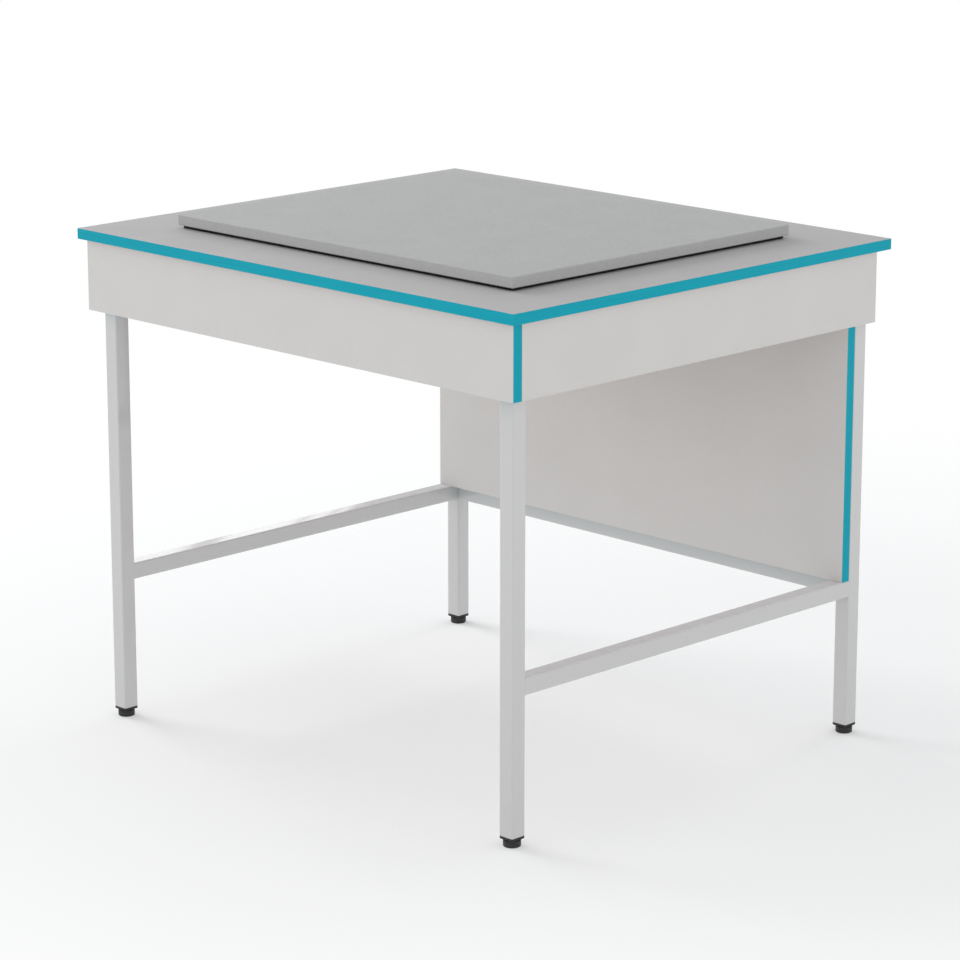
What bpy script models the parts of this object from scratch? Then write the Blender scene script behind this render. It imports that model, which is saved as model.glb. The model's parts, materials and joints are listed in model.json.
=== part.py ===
"""A laboratory centrifuge table.

A frame of welded square tube carries a laminated worktop, a front and two side aprons and a rear
panel, each with coloured edging where a cut edge shows. A stone slab on a rubber mat lies loose on
the worktop and takes the centrifuge. Four screw feet in the legs level the table.

Units are metres and +Z is up. The front faces -Y, +X is to the right, and the origin is on the
floor under the middle of the worktop.
"""

import math

import bmesh
import bpy
from mathutils import Matrix, Vector

# Whole table
TABLE_WIDTH = 0.900
TABLE_DEPTH = 0.780
WORKTOP_HEIGHT = 0.750

# Fits
SEAT_GAP = 0.0003  # between pieces that rest on, butt or turn in each other
GLUE_LINE = 0.0001  # between a board and its edging
CUT_OVERRUN = 0.002  # how far a cutter runs past the face that it opens
WELD_DISTANCE = 0.00001  # points closer than this are one point

# Boards
WORKTOP_THICKNESS = 0.016
BOARD_THICKNESS = 0.016
FRONT_OVERHANG = 0.010
SIDE_OVERHANG = 0.010
REAR_OVERHANG = 0.020
APRON_HEIGHT = 0.106

# Edging
EDGING_THICKNESS = 0.002  # round the worktop
THIN_EDGING_THICKNESS = 0.0008  # on the aprons and the rear panel
EDGING_ROUND = 0.0008
EDGING_ROUND_SEGMENTS = 2

# Frame of square tube
TUBE_SIZE = 0.025
TUBE_WALL = 0.0015
TUBE_CORNER_RADIUS = 0.002
CORNER_SEGMENTS = 3
LEG_CLEARANCE = 0.015  # a leg's lower end above the floor
LOWER_RAIL_TOP = 0.239
CROSSBEAM_SPACING = 0.360

# Stone slab and rubber mat
SLAB_WIDTH = 0.690
SLAB_DEPTH = 0.570
SLAB_THICKNESS = 0.016
SLAB_ARRIS = 0.001
MAT_THICKNESS = 0.004
MAT_INSET = 0.006

# Fixing screws, driven through a tube into a board
SCREW_DIAMETER = 0.0045
SCREW_BITE = 0.011
SCREW_TIP = 0.004
SCREW_HEAD_DIAMETER = 0.009
SCREW_HEAD_RIM = 0.0008
SCREW_HEAD_DOME = 0.0018
SCREW_SEGMENTS = 12
DOME_SEGMENTS = 2
WORKTOP_SCREW_INSET = 0.060  # along a side rail from the leg
SIDE_SCREW_STEP = 0.040  # from a worktop screw to the next side apron screw
FRONT_SCREW_INSET = 0.100  # along the front rail from the leg
PANEL_SCREW_INSET = 0.060  # from the rear panel's upper and lower edges

# Plug in the lower end of a leg
PLUG_FLANGE = 0.004
FLANGE_CHAMFER = 0.0008
PLUG_CORE = 0.018
PLUG_LENGTH = 0.022
PLUG_LEAD = 0.002  # plain core over the last fin, and under the first
FIN_THICKNESS = 0.0014
FIN_TAPER = 0.0006  # how far a fin's upper edge draws in
FIN_COUNT = 3

# Insert nut in the plug
NUT_WIDTH = 0.013
NUT_HEIGHT = 0.0065

# Stud and base of a screw foot
STUD_DIAMETER = 0.008
STUD_HEAD_DIAMETER = 0.014
STUD_HEAD_HEIGHT = 0.003
STUD_CHAMFER = 0.001
STUD_RESERVE = 0.003  # thread that still stands over the nut when the foot is fully out
FOOT_TRAVEL = 0.012
BASE_DIAMETER = 0.025
BASE_FLOOR = 0.003
BASE_CHAMFER = 0.0012
BASE_TOP_CHAMFER = 0.0004
BASE_RECESS_DIAMETER = 0.016
BASE_RECESS_DEPTH = 0.0006
FOOT_GAP = 0.001  # between the base and the plug when the foot is fully in
ROUND_SEGMENTS = 32

# Heights worked out from the sizes
WORKTOP_UNDERSIDE = WORKTOP_HEIGHT - WORKTOP_THICKNESS
FRAME_TOP = WORKTOP_UNDERSIDE - SEAT_GAP
TOP_RAIL_BOTTOM = FRAME_TOP - TUBE_SIZE
APRON_BOTTOM = WORKTOP_UNDERSIDE - APRON_HEIGHT
PANEL_BOTTOM = LOWER_RAIL_TOP + SEAT_GAP
PANEL_TOP = TOP_RAIL_BOTTOM - SEAT_GAP
FLANGE_TOP = LEG_CLEARANCE - SEAT_GAP
FLANGE_BOTTOM = FLANGE_TOP - PLUG_FLANGE
PLUG_TOP = LEG_CLEARANCE + PLUG_LENGTH
NUT_BOTTOM = PLUG_TOP - NUT_HEIGHT

# Places across and along the table
APRON_OUTER_X = TABLE_WIDTH / 2 - SIDE_OVERHANG
LEG_OUTER_X = APRON_OUTER_X - BOARD_THICKNESS - SEAT_GAP
LEG_X = LEG_OUTER_X - TUBE_SIZE / 2
LEG_INNER_X = LEG_OUTER_X - TUBE_SIZE
APRON_FRONT_Y = -TABLE_DEPTH / 2 + FRONT_OVERHANG
APRON_BACK_Y = APRON_FRONT_Y + BOARD_THICKNESS
LEG_FRONT_Y = APRON_BACK_Y + SEAT_GAP
LEG_REAR_Y = TABLE_DEPTH / 2 - REAR_OVERHANG
FRONT_LEG_Y = LEG_FRONT_Y + TUBE_SIZE / 2
REAR_LEG_Y = LEG_REAR_Y - TUBE_SIZE / 2
FRONT_LEG_INNER_Y = LEG_FRONT_Y + TUBE_SIZE
REAR_LEG_INNER_Y = LEG_REAR_Y - TUBE_SIZE
PANEL_REAR_Y = REAR_LEG_INNER_Y - SEAT_GAP
EDGED = EDGING_THICKNESS + GLUE_LINE
THIN_EDGED = THIN_EDGING_THICKNESS + GLUE_LINE

SCREW_LENGTH = TUBE_SIZE + 2 * SEAT_GAP + SCREW_BITE

SIDES = {"left": -1, "right": 1}
CORNERS = {
    "front_left": (-LEG_X, FRONT_LEG_Y),
    "front_right": (LEG_X, FRONT_LEG_Y),
    "rear_left": (-LEG_X, REAR_LEG_Y),
    "rear_right": (LEG_X, REAR_LEG_Y),
}

# Colour, roughness and metallic value of each finish
FINISHES = {
    "white_melamine": ("E2E1DF", 0.5, 0),
    "grey_laminate": ("B3B4B4", 0.5, 0),
    "teal_edging": ("28B2C7", 0.4, 0),
    "white_edging": ("DEDDDB", 0.4, 0),
    "painted_steel": ("DCDCDC", 0.35, 0),
    "grey_stone": ("B4B6B5", 0.6, 0),
    "black_rubber": ("1E1E1E", 0.8, 0),
    "black_plastic": ("303030", 0.5, 0),
    "zinc_plated_steel": ("C4C6C8", 0.35, 1),
}


def clear_scene():
    """Remove every object that is in the scene."""
    for obj in list(bpy.data.objects):
        bpy.data.objects.remove(obj)


def new_collection(name):
    """A collection in the scene."""
    collection = bpy.data.collections.new(name)
    bpy.context.scene.collection.children.link(collection)
    return collection


def linear_colour(hex_colour):
    """An sRGB hex colour as linear red, green, blue and alpha."""
    shares = [int(hex_colour[i : i + 2], 16) / 255 for i in (0, 2, 4)]
    return [s / 12.92 if s <= 0.04045 else ((s + 0.055) / 1.055) ** 2.4 for s in shares] + [1]


def finish(name):
    """The material of a finish, made once."""
    material = bpy.data.materials.get(name)
    if material is None:
        colour, roughness, metallic = FINISHES[name]
        material = bpy.data.materials.new(name)
        material.use_nodes = True
        shader = material.node_tree.nodes["Principled BSDF"]
        shader.inputs["Base Color"].default_value = linear_colour(colour)
        shader.inputs["Roughness"].default_value = roughness
        shader.inputs["Metallic"].default_value = metallic
    return material


def add_object(name, mesh, material, location=(0, 0, 0), parent=None):
    """One piece of the table, with its finish."""
    obj = bpy.data.objects.new(name, mesh)
    if not mesh.materials:
        mesh.materials.append(finish(material))
    obj.location = location
    obj.parent = parent
    TABLE.objects.link(obj)
    return obj


def add_cutter(name, mesh, location):
    """A shape that is cut out of pieces, kept out of the render."""
    obj = bpy.data.objects.new(name, mesh)
    obj.location = location
    obj.hide_render = True
    obj.display_type = "WIRE"
    CUTTERS.objects.link(obj)
    return obj


def cut(obj, cutter):
    """Cut the cutter's shape out of a piece."""
    modifier = obj.modifiers.new("cut_" + cutter.name, "BOOLEAN")
    modifier.operation = "DIFFERENCE"
    modifier.object = cutter


def evaluated_mesh(obj, name):
    """A piece's mesh with its modifiers in it. The piece itself is removed."""
    bpy.context.view_layer.update()
    mesh = bpy.data.meshes.new_from_object(obj.evaluated_get(bpy.context.evaluated_depsgraph_get()))
    mesh.name = name
    welded = bmesh.new()
    welded.from_mesh(mesh)
    bmesh.ops.remove_doubles(welded, verts=welded.verts, dist=WELD_DISTANCE)
    welded.to_mesh(mesh)
    welded.free()
    bpy.data.objects.remove(obj)
    return mesh


def shade_round(mesh):
    """Smooth shading that keeps the edges of a turned piece sharp."""
    mesh.shade_smooth()
    mesh.set_sharp_from_angle(angle=math.radians(30))


def block_shape(size):
    """A block about its own middle, as a bmesh."""
    shape = bmesh.new()
    bmesh.ops.create_cube(shape, size=1)
    bmesh.ops.scale(shape, vec=size, verts=shape.verts)
    return shape


def mesh_of(shape, name):
    """The bmesh as a mesh with its faces pointing out."""
    bmesh.ops.recalc_face_normals(shape, faces=shape.faces)
    mesh = bpy.data.meshes.new(name)
    shape.to_mesh(mesh)
    shape.free()
    return mesh


def middle_and_size(low, high):
    """The middle and the size of the block between two corners."""
    low, high = Vector(low), Vector(high)
    return (low + high) / 2, high - low


def add_board(name, low, high, material):
    """A sawn board between two corners."""
    middle, size = middle_and_size(low, high)
    return add_object(name, mesh_of(block_shape(size), name), material, middle)


def add_edging(name, low, high, outward, wraps_corners=False, material="teal_edging"):
    """A strip of edging, with the outer long edges scraped round.

    A strip that wraps corners is also rounded where its ends turn into the next side.
    """
    middle, size = middle_and_size(low, high)
    shape = block_shape(size)
    outward = Vector(outward)
    length_axis = max(range(3), key=lambda axis: size[axis])
    thickness = abs(size.dot(outward))

    def rounds(edge):
        start, end = (vertex.co for vertex in edge.verts)
        outer = start.dot(outward) > 0, end.dot(outward) > 0
        lengthwise = start[length_axis] != end[length_axis]
        return any(outer) if wraps_corners else all(outer) and lengthwise

    bmesh.ops.bevel(
        shape,
        geom=[edge for edge in shape.edges if rounds(edge)],
        offset=min(EDGING_ROUND, thickness / 2),
        segments=EDGING_ROUND_SEGMENTS,
        profile=0.5,
        affect="EDGES",
        material=-1,
    )
    return add_object(name, mesh_of(shape, name), material, middle)


def rounded_square(size, radius):
    """The points of a square with round corners, anticlockwise, about its middle."""
    if radius <= 0:
        return [(size / 2 * x, size / 2 * y) for x, y in ((1, 1), (-1, 1), (-1, -1), (1, -1))]
    centre = size / 2 - radius
    points = []
    for quarter in range(4):
        start = quarter * math.pi / 2
        x = centre * (1 if quarter in (0, 3) else -1)
        y = centre * (1 if quarter in (0, 1) else -1)
        for step in range(CORNER_SEGMENTS + 1):
            angle = start + step / CORNER_SEGMENTS * math.pi / 2
            points.append((x + radius * math.cos(angle), y + radius * math.sin(angle)))
    return points


def polygon(radius, sides, turn=0):
    """The points of a regular polygon, anticlockwise, about its middle."""
    angles = [turn + 2 * math.pi * side / sides for side in range(sides)]
    return [(radius * math.cos(angle), radius * math.sin(angle)) for angle in angles]


def extruded_outline(name, outlines, thickness):
    """A mesh of a flat outline with holes, extruded about its own plane."""
    curve = bpy.data.curves.new(name, "CURVE")
    curve.dimensions = "2D"
    curve.fill_mode = "BOTH"
    curve.extrude = thickness / 2
    for outline in outlines:
        spline = curve.splines.new("POLY")
        spline.points.add(len(outline) - 1)
        spline.use_cyclic_u = True
        for point, (x, y) in zip(spline.points, outline):
            point.co = (x, y, 0, 1)
    obj = bpy.data.objects.new(name, curve)
    bpy.context.scene.collection.objects.link(obj)
    return evaluated_mesh(obj, name)


def turned_mesh(name, profile, segments):
    """A mesh turned about Z from a profile of radius and height, which runs down its outer side."""
    mesh = bpy.data.meshes.new(name)
    line = bmesh.new()
    points = [line.verts.new((radius, 0, height)) for radius, height in profile]
    for start, end in zip(points, points[1:]):
        line.edges.new((start, end))
    line.to_mesh(mesh)
    line.free()
    obj = bpy.data.objects.new(name, mesh)
    bpy.context.scene.collection.objects.link(obj)
    screw = obj.modifiers.new("turn", "SCREW")
    screw.axis = "Z"
    screw.steps = segments
    screw.render_steps = segments
    screw.use_merge_vertices = True
    screw.merge_threshold = WELD_DISTANCE
    turned = evaluated_mesh(obj, name)
    shade_round(turned)
    return turned


def add_tube(name, start, end):
    """A square tube along X, Y or Z between the middles of its two ends."""
    start, end = Vector(start), Vector(end)
    outlines = [
        rounded_square(TUBE_SIZE, TUBE_CORNER_RADIUS),
        rounded_square(TUBE_SIZE - 2 * TUBE_WALL, TUBE_CORNER_RADIUS - TUBE_WALL),
    ]
    mesh = extruded_outline(name, outlines, (end - start).length)
    shade_round(mesh)
    tube = add_object(name, mesh, "painted_steel", (start + end) / 2)
    tube.rotation_euler = Vector((0, 0, 1)).rotation_difference(end - start).to_euler()
    return tube


def add_legs():
    """The four legs, from the plug flanges to the worktop."""
    return {
        corner: add_tube("leg_" + corner, (x, y, LEG_CLEARANCE), (x, y, FRAME_TOP))
        for corner, (x, y) in CORNERS.items()
    }


def add_side_rail(name, x, top):
    """A rail between the front and the rear leg of one side."""
    z = top - TUBE_SIZE / 2
    start = (x, FRONT_LEG_INNER_Y + SEAT_GAP, z)
    return add_tube(name, start, (x, REAR_LEG_INNER_Y - SEAT_GAP, z))


def add_cross_rail(name, y, top):
    """A rail between the left and the right leg."""
    z = top - TUBE_SIZE / 2
    reach = LEG_INNER_X - SEAT_GAP
    return add_tube(name, (-reach, y, z), (reach, y, z))


def add_frame():
    """The welded frame. The pieces that screws pass through are returned by name."""
    drilled = add_legs()
    for side, sign in SIDES.items():
        add_side_rail("lower_rail_" + side, sign * LEG_X, LOWER_RAIL_TOP)
        drilled["top_rail_" + side] = add_side_rail("top_rail_" + side, sign * LEG_X, FRAME_TOP)
        add_crossbeam("crossbeam_" + side, sign * CROSSBEAM_SPACING / 2)
    add_cross_rail("lower_rail_rear", REAR_LEG_Y, LOWER_RAIL_TOP)
    add_cross_rail("top_rail_rear", REAR_LEG_Y, FRAME_TOP)
    drilled["top_rail_front"] = add_cross_rail("top_rail_front", FRONT_LEG_Y, FRAME_TOP)
    return drilled


def add_crossbeam(name, x):
    """A beam under the slab, from the front to the rear top rail."""
    z = FRAME_TOP - TUBE_SIZE / 2
    start = (x, FRONT_LEG_INNER_Y + SEAT_GAP, z)
    return add_tube(name, start, (x, REAR_LEG_INNER_Y - SEAT_GAP, z))


def add_worktop():
    """The laminated worktop and the edging round it."""
    x, y = TABLE_WIDTH / 2, TABLE_DEPTH / 2
    low, high = WORKTOP_UNDERSIDE, WORKTOP_HEIGHT
    board = add_board(
        "worktop",
        (-x + EDGED, -y + EDGED, low),
        (x - EDGED, y - EDGED, high),
        "grey_laminate",
    )
    for name, sign in (("front", -1), ("rear", 1)):
        near, far = sorted((sign * y, sign * (y - EDGING_THICKNESS)))
        add_edging(
            "worktop_edging_" + name, (-x, near, low), (x, far, high), (0, sign, 0), True
        )
    for name, sign in SIDES.items():
        near, far = sorted((sign * x, sign * (x - EDGING_THICKNESS)))
        add_edging(
            "worktop_edging_" + name,
            (near, -y + EDGED, low),
            (far, y - EDGED, high),
            (sign, 0, 0),
        )
    return board


def add_front_apron():
    """The front apron, which covers the front ends of the side aprons, with edging on its own ends."""
    apron = add_board(
        "apron_front",
        (-APRON_OUTER_X + THIN_EDGED, APRON_FRONT_Y, APRON_BOTTOM),
        (APRON_OUTER_X - THIN_EDGED, APRON_BACK_Y, FRAME_TOP),
        "white_melamine",
    )
    for name, sign in SIDES.items():
        near, far = sorted((sign * APRON_OUTER_X, sign * (APRON_OUTER_X - THIN_EDGING_THICKNESS)))
        add_edging(
            "apron_front_edging_" + name,
            (near, APRON_FRONT_Y, APRON_BOTTOM),
            (far, APRON_BACK_Y, FRAME_TOP),
            (sign, 0, 0),
        )
    return apron


def add_side_aprons():
    """The two side aprons, which butt against the front one, with white edging on their rear ends."""
    aprons = {}
    for name, sign in SIDES.items():
        near, far = sorted((sign * APRON_OUTER_X, sign * (APRON_OUTER_X - BOARD_THICKNESS)))
        aprons[name] = add_board(
            "apron_" + name,
            (near, APRON_BACK_Y + SEAT_GAP, APRON_BOTTOM),
            (far, LEG_REAR_Y - THIN_EDGED, FRAME_TOP),
            "white_melamine",
        )
        add_edging(
            "apron_" + name + "_edging",
            (near, LEG_REAR_Y - THIN_EDGING_THICKNESS, APRON_BOTTOM),
            (far, LEG_REAR_Y, FRAME_TOP),
            (0, 1, 0),
            material="white_edging",
        )
    return aprons


def add_rear_panel():
    """The rear panel, which stands on the lower side rails in front of the rear legs."""
    front, rear = PANEL_REAR_Y - BOARD_THICKNESS, PANEL_REAR_Y
    panel = add_board(
        "rear_panel",
        (-LEG_OUTER_X + THIN_EDGED, front, PANEL_BOTTOM),
        (LEG_OUTER_X - THIN_EDGED, rear, PANEL_TOP),
        "white_melamine",
    )
    for name, sign in SIDES.items():
        near, far = sorted((sign * LEG_OUTER_X, sign * (LEG_OUTER_X - THIN_EDGING_THICKNESS)))
        add_edging(
            "rear_panel_edging_" + name,
            (near, front, PANEL_BOTTOM),
            (far, rear, PANEL_TOP),
            (sign, 0, 0),
        )
    return panel


def add_slab_and_mat():
    """The stone slab that lifts off, and the rubber mat under it."""
    mat_bottom = WORKTOP_HEIGHT + SEAT_GAP
    slab_bottom = mat_bottom + MAT_THICKNESS + SEAT_GAP
    mat_x, mat_y = SLAB_WIDTH / 2 - MAT_INSET, SLAB_DEPTH / 2 - MAT_INSET
    add_board(
        "rubber_mat",
        (-mat_x, -mat_y, mat_bottom),
        (mat_x, mat_y, mat_bottom + MAT_THICKNESS),
        "black_rubber",
    )
    shape = block_shape((SLAB_WIDTH, SLAB_DEPTH, SLAB_THICKNESS))
    bmesh.ops.bevel(
        shape,
        geom=shape.edges[:],
        offset=min(SLAB_ARRIS, SLAB_THICKNESS / 3),
        segments=1,
        profile=0.5,
        affect="EDGES",
        material=-1,
    )
    lift = add_axis("slab_lift_axis", (0, 0, slab_bottom))
    middle = (0, 0, SLAB_THICKNESS / 2)
    add_object("stone_slab", mesh_of(shape, "stone_slab"), "grey_stone", middle, lift)


def add_axis(name, location):
    """An empty on the axis of a joint."""
    axis = bpy.data.objects.new(name, None)
    axis.location = location
    TABLE.objects.link(axis)
    return axis


def screw_mesh():
    """A pan-head screw along +Z, with the underside of its head at the origin."""
    radius, head_radius = SCREW_DIAMETER / 2, SCREW_HEAD_DIAMETER / 2
    profile = [(0, SCREW_LENGTH), (radius, SCREW_LENGTH - SCREW_TIP), (radius, 0), (head_radius, 0)]
    for step in range(DOME_SEGMENTS + 1):
        angle = step / DOME_SEGMENTS * math.pi / 2
        height = -SCREW_HEAD_RIM - SCREW_HEAD_DOME * math.sin(angle)
        profile.append((head_radius * math.cos(angle), height))
    profile[-1] = (0, profile[-1][1])
    return turned_mesh("screw", profile, SCREW_SEGMENTS)


def cylinder_mesh(name, radius, low, high, sides, turn=0):
    """A cylinder or prism about Z between two heights."""
    shape = bmesh.new()
    bmesh.ops.create_cone(
        shape,
        cap_ends=True,
        segments=sides,
        radius1=radius,
        radius2=radius,
        depth=high - low,
        matrix=Matrix.Translation((0, 0, (low + high) / 2)) @ Matrix.Rotation(turn, 4, "Z"),
    )
    return mesh_of(shape, name)


def add_screw(name, mesh, drill, seat, inward, drilled):
    """A screw whose head seats on a tube, and its hole through the tube and into the board."""
    inward = Vector(inward)
    turn = Vector((0, 0, 1)).rotation_difference(inward).to_euler()
    screw = add_object(name, mesh, "zinc_plated_steel", Vector(seat) - inward * SEAT_GAP)
    screw.rotation_euler = turn
    cutter = add_cutter("drill_" + name, drill, screw.location)
    cutter.rotation_euler = turn
    for piece in drilled:
        cut(piece, cutter)


def add_screws(frame, worktop, front_apron, side_aprons, rear_panel):
    """The screws that hold the boards to the frame."""
    mesh = screw_mesh()
    hole_radius = SCREW_DIAMETER / 2 + SEAT_GAP
    drill = cylinder_mesh(
        "drill", hole_radius, -CUT_OVERRUN, SCREW_LENGTH + SEAT_GAP, SCREW_SEGMENTS
    )
    rail_z = FRAME_TOP - TUBE_SIZE / 2
    ends = (
        ("front", FRONT_LEG_INNER_Y, 1),
        ("rear", REAR_LEG_INNER_Y, -1),
    )
    for side, sign in SIDES.items():
        rail = frame["top_rail_" + side]
        for end, leg_y, along in ends:
            y = leg_y + along * WORKTOP_SCREW_INSET
            seat = (sign * LEG_X, y, TOP_RAIL_BOTTOM)
            add_screw(f"worktop_screw_{end}_{side}", mesh, drill, seat, (0, 0, 1), (rail, worktop))
            y += along * SIDE_SCREW_STEP
            seat = (sign * LEG_INNER_X, y, rail_z)
            add_screw(
                f"apron_screw_{side}_{end}",
                mesh,
                drill,
                seat,
                (sign, 0, 0),
                (rail, side_aprons[side]),
            )
        x = sign * (LEG_INNER_X - FRONT_SCREW_INSET)
        add_screw(
            f"apron_screw_front_{side}",
            mesh,
            drill,
            (x, FRONT_LEG_INNER_Y, rail_z),
            (0, -1, 0),
            (frame["top_rail_front"], front_apron),
        )
        levels = (
            ("lower", PANEL_BOTTOM + PANEL_SCREW_INSET),
            ("upper", PANEL_TOP - PANEL_SCREW_INSET),
        )
        for level, z in levels:
            add_screw(
                f"panel_screw_{side}_{level}",
                mesh,
                drill,
                (sign * LEG_X, LEG_REAR_Y, z),
                (0, -1, 0),
                (frame["rear_" + side], rear_panel),
            )


def stacked_squares(levels):
    """A bmesh of round-cornered squares at rising heights, joined by walls and ledges."""
    shape = bmesh.new()
    size, height = levels[0]
    share = TUBE_CORNER_RADIUS / TUBE_SIZE
    outline = rounded_square(size, size * share)
    bottom = top = shape.faces.new([shape.verts.new((x, y, height)) for x, y in outline])
    for next_size, next_height in levels[1:]:
        grown = bmesh.ops.extrude_face_region(shape, geom=[top])["geom"]
        if top is not bottom:
            bmesh.ops.delete(shape, geom=[top], context="FACES_ONLY")
        rim = [element for element in grown if isinstance(element, bmesh.types.BMVert)]
        top = next(element for element in grown if isinstance(element, bmesh.types.BMFace))
        grow = next_size / size
        bmesh.ops.scale(shape, vec=(grow, grow, 1), verts=rim)
        bmesh.ops.translate(shape, vec=(0, 0, next_height - height), verts=rim)
        size, height = next_size, next_height
    return shape


def plug_mesh():
    """The moulded plug: a flange on the tube's end and a finned core with a bore and a nut pocket."""
    fin_size = TUBE_SIZE - 2 * TUBE_WALL - 2 * SEAT_GAP
    levels = [
        (TUBE_SIZE - 2 * FLANGE_CHAMFER, FLANGE_BOTTOM),
        (TUBE_SIZE, FLANGE_BOTTOM + FLANGE_CHAMFER),
        (TUBE_SIZE, FLANGE_TOP),
        (PLUG_CORE, FLANGE_TOP),
    ]
    first = LEG_CLEARANCE + PLUG_LEAD
    step = (PLUG_LENGTH - 2 * PLUG_LEAD - FIN_THICKNESS) / (FIN_COUNT - 1)
    for index in range(FIN_COUNT):
        low = first + index * step
        high = low + FIN_THICKNESS
        tip_size = fin_size - 2 * FIN_TAPER
        levels += [(PLUG_CORE, low), (fin_size, low), (tip_size, high), (PLUG_CORE, high)]
    levels.append((PLUG_CORE, PLUG_TOP))
    plug = add_object("plug", mesh_of(stacked_squares(levels), "plug"), "black_plastic")
    bore = cylinder_mesh(
        "bore",
        STUD_DIAMETER / 2 + SEAT_GAP,
        FLANGE_BOTTOM - CUT_OVERRUN,
        PLUG_TOP + CUT_OVERRUN,
        ROUND_SEGMENTS,
    )
    pocket_radius = (NUT_WIDTH / 2 + SEAT_GAP) / math.cos(math.pi / 6)
    pocket = cylinder_mesh(
        "pocket", pocket_radius, NUT_BOTTOM - SEAT_GAP, PLUG_TOP + CUT_OVERRUN, 6
    )
    cutters = [add_cutter("cut_bore", bore, (0, 0, 0)), add_cutter("cut_pocket", pocket, (0, 0, 0))]
    for cutter in cutters:
        cut(plug, cutter)
    return evaluated_mesh(plug, "plug")


def nut_mesh():
    """The hexagon nut in the plug's pocket."""
    hexagon = polygon(NUT_WIDTH / 2 / math.cos(math.pi / 6), 6, math.pi / 2)
    bore = polygon(STUD_DIAMETER / 2 + SEAT_GAP, ROUND_SEGMENTS)
    return extruded_outline("nut", [hexagon, bore], NUT_HEIGHT)


def stud_mesh():
    """The stud: a round head in the base, and a shank up through the nut."""
    radius, head_radius = STUD_DIAMETER / 2, STUD_HEAD_DIAMETER / 2
    head_bottom = BASE_FLOOR + SEAT_GAP
    head_top = head_bottom + STUD_HEAD_HEIGHT
    tip = PLUG_TOP + FOOT_TRAVEL + STUD_RESERVE
    profile = [
        (0, tip),
        (radius - STUD_CHAMFER, tip),
        (radius, tip - STUD_CHAMFER),
        (radius, head_top),
        (head_radius, head_top),
        (head_radius, head_bottom),
        (0, head_bottom),
    ]
    return turned_mesh("stud", profile, ROUND_SEGMENTS)


def base_mesh():
    """The round base, moulded round the stud's head, with a shallow recess underneath."""
    radius, recess_radius = BASE_DIAMETER / 2, BASE_RECESS_DIAMETER / 2
    neck_radius = STUD_DIAMETER / 2 + SEAT_GAP
    head_radius = STUD_HEAD_DIAMETER / 2 + SEAT_GAP
    head_roof = BASE_FLOOR + STUD_HEAD_HEIGHT + 2 * SEAT_GAP
    top = FLANGE_BOTTOM - FOOT_GAP
    profile = [
        (0, BASE_FLOOR),
        (head_radius, BASE_FLOOR),
        (head_radius, head_roof),
        (neck_radius, head_roof),
        (neck_radius, top),
        (radius - BASE_TOP_CHAMFER, top),
        (radius, top - BASE_TOP_CHAMFER),
        (radius, BASE_CHAMFER),
        (radius - BASE_CHAMFER, 0),
        (recess_radius, 0),
        (recess_radius, BASE_RECESS_DEPTH),
        (0, BASE_RECESS_DEPTH),
    ]
    return turned_mesh("base", profile, ROUND_SEGMENTS)


def add_feet():
    """A plug, a nut, a stud and a base under each leg."""
    plug, nut, stud, base = plug_mesh(), nut_mesh(), stud_mesh(), base_mesh()
    for corner, (x, y) in CORNERS.items():
        axis = add_axis(f"foot_{corner}_axis", (x, y, 0))
        add_object("foot_plug_" + corner, plug, "black_plastic", (x, y, 0))
        nut_middle = (x, y, NUT_BOTTOM + NUT_HEIGHT / 2)
        add_object("foot_nut_" + corner, nut, "zinc_plated_steel", nut_middle)
        add_object("foot_stud_" + corner, stud, "zinc_plated_steel", parent=axis)
        add_object("foot_base_" + corner, base, "black_plastic", parent=axis)


def build_table():
    """Every piece of the table."""
    frame = add_frame()
    worktop = add_worktop()
    front_apron = add_front_apron()
    side_aprons = add_side_aprons()
    rear_panel = add_rear_panel()
    add_screws(frame, worktop, front_apron, side_aprons, rear_panel)
    add_slab_and_mat()
    add_feet()


clear_scene()
TABLE = new_collection("centrifuge_table")
CUTTERS = new_collection("cutters")
build_table()
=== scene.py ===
# %% [markdown]
# # A laboratory centrifuge table
#
# The table comes as a imported model: tubes, boards, slab, mat and screw feet, each a plain solid at
# its real size and place. This lesson gives it its looks. The camera and the light come first, then
# one finish after another, and last the small pieces that a plain solid only stands in for:
# round-cornered tubes, welds, threaded studs, turned foot bases and cross-head screws.
#
# A few functions below load the model and tell where each solid sits. Later one of them lets every
# new piece ride on the part of the table that it belongs to, so that slab and feet can move.
#
# Lengths are in metres, +Z is up, and the front of the table faces -Y.

# %% Load the imported table
import json
import math

import bmesh
import bpy
from mathutils import Matrix, Vector

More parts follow.
